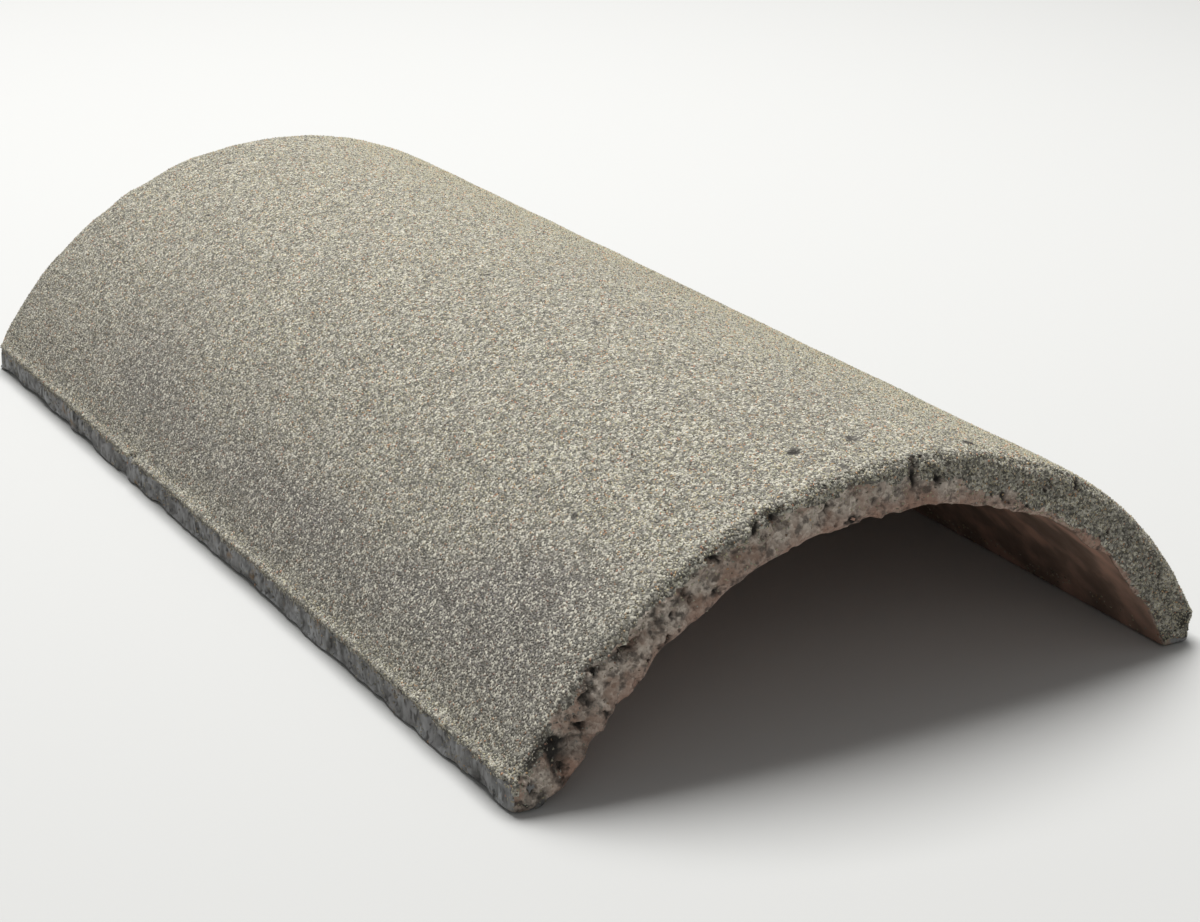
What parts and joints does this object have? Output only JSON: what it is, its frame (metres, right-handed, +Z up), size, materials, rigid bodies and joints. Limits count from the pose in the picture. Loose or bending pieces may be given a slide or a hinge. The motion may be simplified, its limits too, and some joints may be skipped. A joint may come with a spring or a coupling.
{
  "type": "segmental ridge tile",
  "caption": "Weathered cast concrete ridge tile: a shallow arch on narrow flat feet that caps a roof's ridge and butts its neighbours end to end.",
  "frame": {"origin": "middle of the rectangle that the feet stand in, at the level they stand on", "axes": "+X across the ridge, +Y along the ridge, +Z up"},
  "size_m": [0.265, 0.458, 0.089],
  "materials": {
    "concrete": "matte"
  },
  "bodies": {
    "root": {"ridge_tile": "concrete"}
  },
  "joints": []
}
